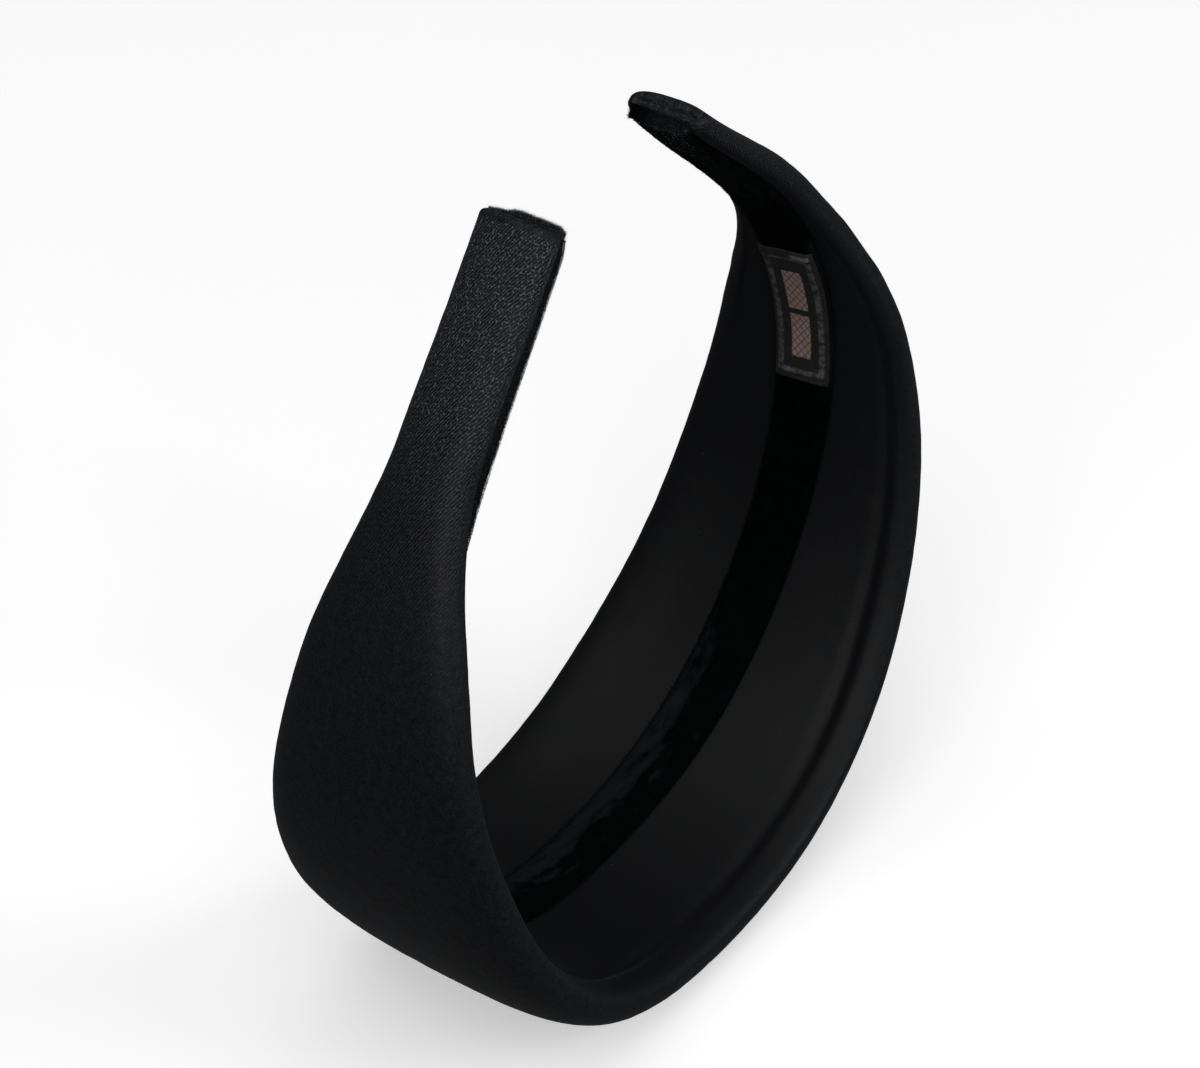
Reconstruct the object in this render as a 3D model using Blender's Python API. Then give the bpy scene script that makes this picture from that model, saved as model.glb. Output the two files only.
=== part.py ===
"""Padded satin headband, standing on its crown with both tips up.

Metres, +Z up. The origin is the middle of the flattened seat under the crown. X runs from the left arm to
the right arm, Y runs across the band from its near edge to its far edge.
"""

import math

import bmesh
import bpy
import numpy as np

# Driving sizes of the band
HALF_LENGTH = 0.188  # along the band from the middle of the crown to a tip
CROWN_RADIUS = 0.062  # bend of the band at the crown, at the widest line of its section
CROWN_WIDTH = 0.057  # across the band at the crown, over the rims
PAD_HEIGHT = 0.0085  # wadding at the crown, from the widest line of the section to the outer face
BACK_DEPTH = 0.0026  # from the widest line of the section to the rim's roll on the inner face
BACK_HOLLOW = 0.0009  # how far the inner face lies back between its two rolled rims
TIP_SWEEP = 0.0057  # how far each tip is swept towards the far edge
SIDE_LEAN = math.radians(9.5)  # how far the sides lean in at the far edge, to follow a head
SEAT_SQUASH = 0.0009  # how far the wadding gives way where the crown rests
TIP_ROUND = 0.0012  # rounding of the satin where it is turned in at a tip

# Driving sizes of the ribbon and its label
RIBBON_WIDTH = 0.0105
RIBBON_THICKNESS = 0.0012
RIBBON_OVERHANG = 0.001  # how far the cut ribbon stands past the satin at each tip
LABEL_LENGTH = 0.033
LABEL_WIDTH = 0.0098
LABEL_THICKNESS = 0.0006
LABEL_FROM_TIP = 0.052  # from the right tip to the label's nearer end
GAP = 0.0003  # clearance between two pieces that lie on each other

# The run of one arm, from the crown at 0 to the tip at 1. bend is a share of the crown's bend, width of
# CROWN_WIDTH, pad of PAD_HEIGHT, back of BACK_DEPTH, hollow of BACK_HOLLOW, sweep of TIP_SWEEP and lean of
# SIDE_LEAN.
ARM_COLUMNS = ("at", "bend", "width", "pad", "back", "hollow", "sweep", "lean")
ARM_ROWS = (
    (0.0, 0.95, 1.00, 1.00, 1.00, 1.0, 0.00, 0.00),
    (0.2, 1.06, 0.96, 0.92, 1.00, 1.0, -0.13, 0.33),
    (0.4, 0.84, 0.83, 0.76, 1.00, 1.0, -0.19, 0.30),
    (0.6, 0.96, 0.59, 0.64, 0.95, 0.7, -0.11, 0.88),
    (0.8, 0.73, 0.27, 0.48, 0.70, 0.2, 0.25, 1.00),
    (1.0, -0.73, 0.25, 0.34, 0.50, 0.0, 1.00, 0.15),
)

# Where the ribbon lies, from the left tip at -1 to the right tip at 1. shift is a share of RIBBON_WIDTH,
# towards the far edge.
RIBBON_COLUMNS = ("at", "shift")
RIBBON_ROWS = (
    (-1.0, -0.12),
    (-0.8, -0.16),
    (-0.6, -0.10),
    (-0.3, 0.10),
    (0.0, 0.26),
    (0.3, 0.15),
    (0.6, 0.05),
    (0.8, 0.04),
    (1.0, 0.03),
)

# Fineness of the solids
ARM_STEPS = 32
SECTION_STEPS = 14  # on each of the two faces
ROUND_STEPS = 3
RIBBON_STEPS_ACROSS = 6
LABEL_STEPS = 8
LABEL_STEPS_ACROSS = 4

# Shape of the section: how square the outer and the inner face turn over the rims
OUTER_POWER = 2.7
OUTER_ROUND = 0.32
INNER_POWER = 7.0
INNER_ROUND = 0.5
POINT_SPREAD = 0.75  # gathers a section's points at the rims
ROLL_START_SHARE = 0.74  # share of the half width where the hollow starts to rise to the rim's roll
ROLL_END_SHARE = 0.86
ROUND_MOST_SHARE = 0.6  # share of a face's height that the rounding at a tip may take
STRIP_FLAT_SHARE = 0.8  # share of the half width past which a strip no longer follows the inner face


def clear_scene():
    for thing in list(bpy.data.objects):
        bpy.data.objects.remove(thing, do_unlink=True)


def smooth_curve(columns, rows, name):
    """A smooth function through one column of a table, with no kink and no overshoot."""
    at = np.array([row[0] for row in rows])
    value = np.array([row[columns.index(name)] for row in rows])
    step = np.diff(at)
    rise = np.diff(value) / step
    slope = np.zeros(len(at))
    for i in range(1, len(at) - 1):
        if rise[i - 1] * rise[i] > 0:
            slope[i] = 2 * rise[i - 1] * rise[i] / (rise[i - 1] + rise[i])
    slope[-1] = rise[-1]

    def read(place):
        i = int(np.clip(np.searchsorted(at, place) - 1, 0, len(step) - 1))
        t = (np.clip(place, at[0], at[-1]) - at[i]) / step[i]
        return float(
            (2 * t**3 - 3 * t**2 + 1) * value[i]
            + (t**3 - 2 * t**2 + t) * step[i] * slope[i]
            + (3 * t**2 - 2 * t**3) * value[i + 1]
            + (t**3 - t**2) * step[i] * slope[i + 1]
        )

    return read


ARM = {name: smooth_curve(ARM_COLUMNS, ARM_ROWS, name) for name in ARM_COLUMNS[1:]}
RIBBON_SHIFT = smooth_curve(RIBBON_COLUMNS, RIBBON_ROWS, "shift")


def smooth_step(low, high, value):
    t = min(max((value - low) / (high - low), 0.0), 1.0)
    return t * t * (3 - 2 * t)


def make_run(samples=800):
    """Distance, turn, x and z along one arm's widest line, by adding up its bend."""
    along = np.linspace(0, HALF_LENGTH, samples + 1)
    bend = np.array([ARM["bend"](s / HALF_LENGTH) for s in along]) / CROWN_RADIUS
    step = along[1]
    turn = np.concatenate([[0], np.cumsum((bend[1:] + bend[:-1]) / 2 * step)])
    x = np.concatenate([[0], np.cumsum(np.cos((turn[1:] + turn[:-1]) / 2) * step)])
    z = np.concatenate([[0], np.cumsum(np.sin((turn[1:] + turn[:-1]) / 2) * step)])
    return along, turn, x, z


RUN = make_run()


def frame_at(distance):
    """Place, outward and across directions at a signed distance from the crown, right arm positive."""
    side = -1 if distance < 0 else 1
    reach = abs(distance)
    along, turns, xs, zs = RUN
    turn = float(np.interp(reach, along, turns))
    past = max(reach - HALF_LENGTH, 0.0)
    x = float(np.interp(reach, along, xs)) + past * math.cos(turn)
    z = float(np.interp(reach, along, zs)) + past * math.sin(turn)
    share = min(reach / HALF_LENGTH, 1.0)
    lean = SIDE_LEAN * ARM["lean"](share)
    place = np.array([side * x, TIP_SWEEP * ARM["sweep"](share), z + PAD_HEIGHT - SEAT_SQUASH])
    level = np.array([side * math.sin(turn), 0, -math.cos(turn)])
    outward = math.cos(lean) * level + math.sin(lean) * np.array([0, 1, 0])
    across = -math.sin(lean) * level + math.cos(lean) * np.array([0, 1, 0])
    return place, outward, across


def section_sizes(distance):
    share = min(abs(distance) / HALF_LENGTH, 1.0)
    return {
        "half": CROWN_WIDTH * ARM["width"](share) / 2,
        "pad": PAD_HEIGHT * ARM["pad"](share),
        "back": BACK_DEPTH * ARM["back"](share),
        "hollow": BACK_HOLLOW * ARM["hollow"](share),
    }


def outer_height(sizes, v):
    return sizes["pad"] * (1 - min(abs(v), 1) ** OUTER_POWER) ** OUTER_ROUND


def inner_depth(sizes, v):
    v = min(abs(v), 1)
    full = sizes["back"] * (1 - v**INNER_POWER) ** INNER_ROUND
    return full - sizes["hollow"] * (1 - smooth_step(ROLL_START_SHARE, ROLL_END_SHARE, v))


def strip_depth(sizes, v):
    """A strip follows the inner face, but stays flat where that face turns away over a rim."""
    return inner_depth(sizes, min(abs(v), STRIP_FLAT_SHARE))


def band_section(distance, inset=0.0):
    """One closed ring of points around the band, drawn in by inset where the satin is turned in."""
    place, outward, across = frame_at(distance)
    sizes = section_sizes(distance)
    half = sizes["half"] - inset
    outer_left = 1 - min(inset / sizes["pad"], ROUND_MOST_SHARE)
    inner_left = 1 - min(inset / sizes["back"], ROUND_MOST_SHARE)
    points = []
    for i in range(2 * SECTION_STEPS):
        angle = math.pi * i / SECTION_STEPS
        cos = math.cos(angle)
        v = math.copysign(abs(cos) ** POINT_SPREAD, cos)
        if i % SECTION_STEPS == 0:
            out = 0.0
        elif i < SECTION_STEPS:
            out = outer_height(sizes, v) * outer_left
        else:
            out = -inner_depth(sizes, v) * inner_left
        points.append(place + across * half * v + outward * out)
    return points


def strip_section(distance, centre, width, near, far, steps):
    """One ring of a flat strip that follows the inner face, from near to far below it."""
    place, outward, across = frame_at(distance)
    sizes = section_sizes(distance)
    half = sizes["half"]
    top = []
    bottom = []
    for i in range(steps + 1):
        offset = centre + width * (i / steps - 0.5)
        depth = strip_depth(sizes, offset / half)
        top.append(place + across * offset - outward * (depth + near))
        bottom.append(place + across * offset - outward * (depth + far))
    return top + bottom[::-1]


def skin_rings(name, rings, material):
    """A closed object through a row of rings that have as many points each."""
    mesh = bmesh.new()
    grid = [[mesh.verts.new(point) for point in ring] for ring in rings]
    count = len(grid[0])
    for first, second in zip(grid, grid[1:]):
        for i in range(count):
            j = (i + 1) % count
            mesh.faces.new((first[i], first[j], second[j], second[i]))
    mesh.faces.new(grid[0][::-1])
    mesh.faces.new(grid[-1])
    bmesh.ops.recalc_face_normals(mesh, faces=mesh.faces)
    data = bpy.data.meshes.new(name)
    mesh.to_mesh(data)
    mesh.free()
    data.materials.append(material)
    thing = bpy.data.objects.new(name, data)
    bpy.context.scene.collection.objects.link(thing)
    return thing


def flatten_seat(thing):
    """Cuts the crown level at the surface that it rests on."""
    mesh = bmesh.new()
    mesh.from_mesh(thing.data)
    everything = mesh.verts[:] + mesh.edges[:] + mesh.faces[:]
    cut = bmesh.ops.bisect_plane(
        mesh, geom=everything, plane_co=(0, 0, 0), plane_no=(0, 0, -1), clear_outer=True
    )
    rim = [item for item in cut["geom_cut"] if isinstance(item, bmesh.types.BMEdge)]
    bmesh.ops.edgeloop_fill(mesh, edges=rim)
    bmesh.ops.recalc_face_normals(mesh, faces=mesh.faces)
    mesh.to_mesh(thing.data)
    mesh.free()


def shade_round(thing, degrees):
    thing.data.shade_smooth()
    thing.data.set_sharp_from_angle(angle=math.radians(degrees))


def make_material(name, colour, roughness):
    material = bpy.data.materials.new(name)
    material.use_nodes = True
    shader = material.node_tree.nodes["Principled BSDF"]
    shader.inputs["Base Color"].default_value = (*colour, 1)
    shader.inputs["Roughness"].default_value = roughness
    shader.inputs["Metallic"].default_value = 0.0
    return material


def make_band():
    satin = make_material("black_satin", (0.011, 0.012, 0.014), 0.5)
    straight = HALF_LENGTH - TIP_ROUND
    stops = [(straight * i / ARM_STEPS, 0.0) for i in range(-ARM_STEPS, ARM_STEPS + 1)]
    ends = []
    for i in range(1, ROUND_STEPS + 1):
        angle = math.pi / 2 * i / ROUND_STEPS
        ends.append((straight + TIP_ROUND * math.sin(angle), TIP_ROUND * (1 - math.cos(angle))))
    stops = [(-at, inset) for at, inset in reversed(ends)] + stops + ends
    band = skin_rings("padded_band", [band_section(at, inset) for at, inset in stops], satin)
    flatten_seat(band)
    shade_round(band, 50)


def make_ribbon():
    velvet = make_material("black_velvet", (0.002, 0.002, 0.003), 0.9)
    reach = HALF_LENGTH + RIBBON_OVERHANG
    rings = []
    for i in range(-ARM_STEPS, ARM_STEPS + 1):
        share = i / ARM_STEPS
        centre = RIBBON_WIDTH * RIBBON_SHIFT(share)
        rings.append(
            strip_section(
                reach * share, centre, RIBBON_WIDTH, GAP, GAP + RIBBON_THICKNESS, RIBBON_STEPS_ACROSS
            )
        )
    shade_round(skin_rings("velvet_lining", rings, velvet), 50)


def make_label():
    weave = make_material("woven_label", (0.02, 0.02, 0.022), 0.7)
    near = GAP + RIBBON_THICKNESS + GAP
    rings = []
    for i in range(LABEL_STEPS + 1):
        at = HALF_LENGTH - LABEL_FROM_TIP - LABEL_LENGTH * (1 - i / LABEL_STEPS)
        centre = RIBBON_WIDTH * RIBBON_SHIFT(at / (HALF_LENGTH + RIBBON_OVERHANG))
        rings.append(
            strip_section(at, centre, LABEL_WIDTH, near, near + LABEL_THICKNESS, LABEL_STEPS_ACROSS)
        )
    shade_round(skin_rings("woven_label", rings, weave), 50)


def main():
    clear_scene()
    make_band()
    make_ribbon()
    make_label()


main()
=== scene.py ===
# Padded satin headband with a velvet ribbon inside: the looks of each piece, the floor, light and camera
import math

import bpy
import numpy as np
from mathutils import Matrix, Vector, noise


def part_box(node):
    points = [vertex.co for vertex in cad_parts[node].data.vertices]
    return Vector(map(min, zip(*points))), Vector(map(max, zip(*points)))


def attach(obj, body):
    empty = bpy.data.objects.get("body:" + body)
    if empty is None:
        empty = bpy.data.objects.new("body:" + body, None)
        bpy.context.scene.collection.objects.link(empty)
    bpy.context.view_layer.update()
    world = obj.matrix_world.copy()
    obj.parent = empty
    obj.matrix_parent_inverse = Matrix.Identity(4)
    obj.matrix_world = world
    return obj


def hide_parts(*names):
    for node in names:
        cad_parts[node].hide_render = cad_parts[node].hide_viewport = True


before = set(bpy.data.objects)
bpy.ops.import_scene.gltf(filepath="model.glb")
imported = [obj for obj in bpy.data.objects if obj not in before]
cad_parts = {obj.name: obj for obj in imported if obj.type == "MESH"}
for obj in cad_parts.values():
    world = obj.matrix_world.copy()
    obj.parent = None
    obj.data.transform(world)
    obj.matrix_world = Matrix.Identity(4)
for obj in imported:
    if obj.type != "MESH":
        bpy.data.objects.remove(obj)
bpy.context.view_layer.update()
bandLow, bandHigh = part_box("padded_band")
mm = 0.001
print("frame loaded:", ", ".join(sorted(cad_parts)))


# shader maths

class Wire:
    # one output socket; the operators add the Math nodes
    def __init__(self, finish, socket):
        self.finish = finish
        self.socket = socket

    def maths(self, operation, *values):
        return self.finish.add("ShaderNodeMath", {"operation": operation}, dict(enumerate(values)))

    def __add__(self, other):
        return self.maths("ADD", self, other)

    def __radd__(self, other):
        return self.maths("ADD", other, self)

    def __sub__(self, other):
        return self.maths("SUBTRACT", self, other)

    def __rsub__(self, other):
        return self.maths("SUBTRACT", other, self)

    def __mul__(self, other):
        return self.maths("MULTIPLY", self, other)

    def __rmul__(self, other):
        return self.maths("MULTIPLY", other, self)

    def __truediv__(self, other):
        return self.maths("DIVIDE", self, other)

    def __rtruediv__(self, other):
        return self.maths("DIVIDE", other, self)

    def __pow__(self, other):
        return self.maths("POWER", self, other)

    def __rpow__(self, other):
        return self.maths("POWER", other, self)

    def wave(self):
        # 0 to 1 and back once for each whole number
        return 0.5 + 0.5 * self.maths("COSINE", self * (2 * math.pi))

    def whole(self):
        return self.maths("FLOOR", self)

    def size(self):
        return self.maths("ABSOLUTE", self)

    def ease(self, low, high, start=0.0, end=1.0):
        # start up to low, end from high on, with a smooth run between
        return self.finish.add(
            "ShaderNodeMapRange",
            {"interpolation_type": "SMOOTHSTEP"},
            {"Value": self, "From Min": low, "From Max": high, "To Min": start, "To Max": end},
        )


class Finish:
    # one material; add puts in any node, with its settings first and then its sockets
    def __init__(self, name):
        self.material = bpy.data.materials.new(name)
        self.material.use_nodes = True
        self.tree = self.material.node_tree
        self.tree.nodes.clear()
        self.count = 0

    def add(self, kind, settings=None, sockets=None, out=0):
        node = self.tree.nodes.new(kind)
        node.location = (220 * (self.count // 6), -260 * (self.count % 6))
        self.count += 1
        for key, value in (settings or {}).items():
            setattr(node, key, value)
        for key, value in (sockets or {}).items():
            if isinstance(value, Wire):
                self.tree.links.new(value.socket, node.inputs[key])
            else:
                node.inputs[key].default_value = value
        return Wire(self, node.outputs[out]) if len(node.outputs) else node

    def cloth(self):
        # metres along the piece and across it, from the piece's own map
        spot = self.add("ShaderNodeUVMap", {"uv_map": "cloth"})
        split = self.add("ShaderNodeSeparateXYZ", {}, {0: spot})
        return spot, split, Wire(self, split.socket.node.outputs[1])

    def place(self):
        return self.add("ShaderNodeTexCoord", {}, {}, 3)

    def stored(self, name):
        return self.add("ShaderNodeAttribute", {"attribute_name": name}, {}, 2)

    def grain(self, spot, repeat, detail=2.0, rough=0.5, stretch=(1, 1, 1)):
        # cloudy noise from 0 to 1, one cloud for each repeat metres
        scaled = self.add(
            "ShaderNodeMapping", {}, {"Vector": spot, "Scale": [one / repeat for one in stretch]}
        )
        return self.add(
            "ShaderNodeTexNoise", {}, {"Vector": scaled, "Scale": 1.0, "Detail": detail, "Roughness": rough}
        )

    def blend(self, factor, first, second):
        # two colours, mixed by a value
        first, second = [one if isinstance(one, Wire) else (*one, 1) for one in (first, second)]
        return self.add(
            "ShaderNodeMix", {"data_type": "RGBA"}, {0: factor, 6: first, 7: second}, 2
        )

    def relief(self, height, depth):
        # bump of a real depth in metres
        return self.add("ShaderNodeBump", {}, {"Strength": 1.0, "Distance": depth, "Height": height})

    def close(self, shader):
        self.add("ShaderNodeOutputMaterial", {}, {"Surface": shader})
        return self.material


# meshes

def addPiece(name, points, faces, material, cloth=None, values=None):
    # cloth gives a map coordinate for each face corner, values a number for each point
    mesh = bpy.data.meshes.new(name)
    mesh.from_pydata(points.tolist(), [], faces)
    if cloth is not None:
        layer = mesh.uv_layers.new(name="cloth")
        layer.data.foreach_set("uv", np.asarray(cloth, np.float32).ravel())
    for key, column in (values or {}).items():
        mesh.attributes.new(key, "FLOAT", "POINT").data.foreach_set(
            "value", np.asarray(column, np.float32)
        )
    mesh.materials.append(material)
    mesh.shade_smooth()
    mesh.validate()
    piece = bpy.data.objects.new(name, mesh)
    bpy.context.scene.collection.objects.link(piece)
    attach(piece, "root")
    return piece


def ease(low, high, value):
    t = np.clip((value - low) / (high - low), 0, 1)
    return t * t * (3 - 2 * t)


def smoothCurve(rows, column):
    # a smooth function through one column of a table, with no kink and no overshoot
    at = np.array([row[0] for row in rows])
    value = np.array([row[column] for row in rows])
    step = np.diff(at)
    rise = np.diff(value) / step
    slope = np.zeros(len(at))
    for i in range(1, len(at) - 1):
        if rise[i - 1] * rise[i] > 0:
            slope[i] = 2 * rise[i - 1] * rise[i] / (rise[i - 1] + rise[i])
    slope[-1] = rise[-1]

    def read(place):
        i = np.clip(np.searchsorted(at, place) - 1, 0, len(step) - 1)
        t = (np.clip(place, at[0], at[-1]) - at[i]) / step[i]
        return (
            (2 * t**3 - 3 * t**2 + 1) * value[i]
            + (t**3 - 2 * t**2 + t) * step[i] * slope[i]
            + (3 * t**2 - 2 * t**3) * value[i + 1]
            + (t**3 - t**2) * step[i] * slope[i + 1]
        )

    return read


def cloud(points, repeat, shift=0.0):
    # soft noise from about -1 to 1 at each point
    moved = points / repeat + shift
    return np.array([noise.noise(Vector(one)) for one in moved])


# the band: one arm's run from the crown at 0 to the tip at 1, as shares of the sizes below
band = {
    "halfLength": 188 * mm,
    "crownRadius": 62 * mm,
    "crownWidth": bandHigh[1] - bandLow[1],
    "padHeight": 8.5 * mm,
    "backDepth": 2.6 * mm,
    "backHollow": 0.9 * mm,
    "tipSweep": 5.7 * mm,
    "sideLean": math.radians(9.5),
    "seatSquash": 0.9 * mm,
    "tipRound": 1.2 * mm,
    "outer": (2.7, 0.32),
    "inner": (7.0, 0.5),
    "rollStart": 0.74,
    "rollEnd": 0.86,
    "stripFlat": 0.8,
    # at, bend, width, pad, back, hollow, sweep, lean
    "run": (
        (0.0, 0.95, 1.00, 1.00, 1.00, 1.0, 0.00, 0.00),
        (0.2, 1.06, 0.96, 0.92, 1.00, 1.0, -0.13, 0.33),
        (0.4, 0.84, 0.83, 0.76, 1.00, 1.0, -0.19, 0.30),
        (0.6, 0.96, 0.59, 0.64, 0.95, 0.7, -0.11, 0.88),
        (0.8, 0.73, 0.27, 0.48, 0.70, 0.2, 0.25, 1.00),
        (1.0, -0.73, 0.25, 0.34, 0.50, 0.0, 1.00, 0.15),
    ),
    "stepsAlong": 420,
    "stepsAround": 160,
    "ringSamples": 720,
    "tipRings": 8,  # rings in the rounding of a tip
    "capRings": 6,  # rings in the satin turned in over it
    "unevenness": 0.14 * mm,  # how far the wadding swells and sinks under the satin
    "unevenSpread": 24 * mm,
    "grain": 0.05 * mm,  # small knobs of the cloth
    "rollCrease": 0.75 * mm,  # groove where the near rim's roll meets the flat inner face
    "creaseAt": 0.755,  # its place and width as shares of half the band's width
    "creaseWidth": 0.045,
    "dragFold": 0.16 * mm,  # folds that the satin draws where the arm narrows
    "dragPitch": 2.3 * mm,
    "pleat": 0.7 * mm,  # folds of the satin turned in at a tip
    "pleatPitch": 1.15 * mm,
    "tipDip": 0.35 * mm,
    "twill": {"pitch": 0.455 * mm, "slant": math.radians(28.5), "float": 1.3 * mm},
    "yarns": ((0.0009, 0.0011, 0.0015), (0.0335, 0.0365, 0.0440)),  # darkest and lightest
    # colour of the painted glints, bright specks of highlight mixed into the satin
    "paintedGlintYarn": (0.112, 0.119, 0.136),
    # dark colour that the inner face is drawn to, partly its own cloth and partly painted shade
    "innerYarnAndShade": (0.0019, 0.0022, 0.0029),
}
(bendAt, widthAt, padAt, backAt, hollowAt, sweepAt, leanAt) = [
    smoothCurve(band["run"], column) for column in range(1, 8)
]


def makeRun(samples=1600):
    # the widest line of one arm, by adding up its bend
    along = np.linspace(0, band["halfLength"], samples + 1)
    bend = bendAt(along / band["halfLength"]) / band["crownRadius"]
    turn = np.concatenate([[0], np.cumsum((bend[1:] + bend[:-1]) / 2 * along[1])])
    x = np.concatenate([[0], np.cumsum(np.cos((turn[1:] + turn[:-1]) / 2) * along[1])])
    z = np.concatenate([[0], np.cumsum(np.sin((turn[1:] + turn[:-1]) / 2) * along[1])])
    return along, turn, x, z


bandRun = makeRun()


def frameAt(distance):
    # place, outward and across for each distance from the crown, right arm positive
    side = np.where(distance < 0, -1.0, 1.0)
    reach = np.abs(distance)
    along, turns, xs, zs = bandRun
    turn = np.interp(reach, along, turns)
    past = np.maximum(reach - band["halfLength"], 0)
    share = np.minimum(reach / band["halfLength"], 1)
    lean = band["sideLean"] * leanAt(share)
    x = side * (np.interp(reach, along, xs) + past * np.cos(turn))
    z = np.interp(reach, along, zs) + past * np.sin(turn) + band["padHeight"] - band["seatSquash"]
    place = np.stack([x, band["tipSweep"] * sweepAt(share), z], -1)
    level = np.stack([side * np.sin(turn), 0 * turn, -np.cos(turn)], -1)
    sideways = np.array([0, 1, 0])
    outward = np.cos(lean)[:, None] * level + np.sin(lean)[:, None] * sideways
    across = np.cos(lean)[:, None] * sideways - np.sin(lean)[:, None] * level
    return place, outward, across


def sectionSizes(distance):
    share = np.minimum(np.abs(distance) / band["halfLength"], 1)
    half = band["crownWidth"] * widthAt(share) / 2
    pad = band["padHeight"] * padAt(share)
    back = band["backDepth"] * backAt(share)
    return half, pad, back, band["backHollow"] * hollowAt(share)


def innerDepth(v, back, hollow):
    power, bow = band["inner"]
    full = back * (1 - np.minimum(np.abs(v), 1) ** power) ** bow
    return full - hollow * (1 - ease(band["rollStart"], band["rollEnd"], np.abs(v)))


def sectionRing(distance, inset, steps):
    # across and outward offsets of evenly spread points round a section, and how far round each one lies
    half, pad, back, hollow = [one[:, None] for one in sectionSizes(distance)]
    inset = inset[:, None]
    # fine samples, closer at the rims, that start and end inside, under the ribbon
    angle = np.linspace(0, 2 * math.pi, band["ringSamples"] + 1)[None] - math.pi / 2
    mostDrawn = 0.6  # the most that a rounded tip takes off the padding
    v = np.sign(np.cos(angle)) * np.abs(np.cos(angle)) ** 0.75
    power, bow = band["outer"]
    outer = pad * (1 - np.abs(v) ** power) ** bow * (1 - np.minimum(inset / pad, mostDrawn))
    inner = innerDepth(v, back, hollow) * (1 - np.minimum(inset / back, mostDrawn))
    out = np.where(np.sin(angle) >= 0, outer, -inner)
    side = (half - inset) * v
    length = np.concatenate(
        [np.zeros((len(distance), 1)), np.cumsum(np.hypot(np.diff(side), np.diff(out)), 1)], 1
    )
    share = np.linspace(0, 1, steps + 1)
    rows = []
    for i in range(len(distance)):
        want = share * length[i, -1]
        rows.append((np.interp(want, length[i], side[i]), np.interp(want, length[i], out[i]), want))
    sides, outs, girths = [np.array(one) for one in zip(*rows)]
    return sides, outs, girths - girths[:, -1:] / 2


def makeSatin():
    # black twill satin: fine slanting lines of yarn floats, grainy near the crown; high on the arms their
    # stronger contrast and glints are partly painted sheen and painted highlights, and the inner face is
    # darker, partly its own darker cloth and partly painted shade
    finish = Finish("blackTwillSatin")
    spot, along, girth = finish.cloth()
    twill = band["twill"]
    lean = math.cos(twill["slant"]), math.sin(twill["slant"])
    inside = finish.stored("inside")
    plain = finish.stored("plain")
    wander = finish.grain(spot, 5 * mm, 3.0) - 0.5
    shake = finish.grain(spot, 1.1 * mm, 2.0) - 0.5
    lines = (girth * lean[0] + along * lean[1]) / twill["pitch"] + wander * 1.3 + shake * 1.1
    floats = (along * lean[0] - girth * lean[1]) / twill["float"] + lines.whole() * 0.37 + shake * 1.6
    speck = finish.grain(spot, 0.48 * mm, 2.0, 0.6)
    coarse = finish.grain(spot, 1.5 * mm, 2.0, 0.6)
    patch = finish.grain(spot, 9 * mm, 3.0)
    # painted glints: sparse bright specks of highlight painted into the satin's colour, strongest where the
    # twill contrast is
    paintedGlint = finish.grain(spot, 0.36 * mm, 0.0).ease(0.60, 0.74)
    yarn = lines.wave() * (0.40 + 0.60 * floats.wave())  # 0 between yarns, 1 on the middle of a float
    # the twill's contrast is partly the weave and partly painted sheen: stronger high on the arms and most
    # at the tips, where the lamps make the satin shine, and fainter on the inner face
    height = along.size().ease(0.118, 0.182) * along.ease(0.0, 0.060, 1.0, 0.26)
    twillAndPaintedSheen = (0.03 + 0.97 * height) * (0.55 + 0.9 * patch) * (1 - 0.85 * inside) * (1 - plain)
    twillAndPaintedSheen = twillAndPaintedSheen * along.size().ease(0.130, 0.175, 1.0, 1.55)
    rough = (1 - 0.5 * height) * (1 - 0.75 * inside) + plain
    tone = 0.34 + (yarn - 0.38) * twillAndPaintedSheen * 2.7 + (speck - 0.5) * (0.15 + 2.1 * twillAndPaintedSheen + 0.38 * rough)
    tone = tone + (coarse - 0.5) * (0.40 * rough + 1.1 * plain) + paintedGlint * (twillAndPaintedSheen + 0.5 * plain)
    colour = finish.blend(tone.ease(0.0, 1.2), *band["yarns"])
    colour = finish.blend((paintedGlint * twillAndPaintedSheen).ease(0.2, 1.2) * 0.8, colour, band["paintedGlintYarn"])
    # painted shade on the inner face: its colour drawn towards a darker yarn, partly the inner cloth's own
    # tone, most over the crown and gone towards the tips
    paintedInnerShade = along.size().ease(0.020, 0.100, 0.86, 0.64) * along.size().ease(0.085, 0.125, 1.0, 0.0)
    colour = finish.blend(inside * paintedInnerShade, colour, band["innerYarnAndShade"])
    gloss = 0.56 - 0.12 * yarn * twillAndPaintedSheen + 0.10 * (patch - 0.5)
    bump = finish.relief(yarn * twillAndPaintedSheen + speck * (0.3 + 0.5 * rough) + coarse * rough, 0.07 * mm)
    shader = finish.add(
        "ShaderNodeBsdfPrincipled",
        {},
        {
            "Base Color": colour,
            "Roughness": gloss,
            "Normal": bump,
            "Specular IOR Level": 0.18,
            "Sheen Weight": 0.03,
            "Sheen Roughness": 0.35,
            "Sheen Tint": (0.85, 0.9, 1.0, 1),
        },
    )
    return finish.close(shader)


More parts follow.
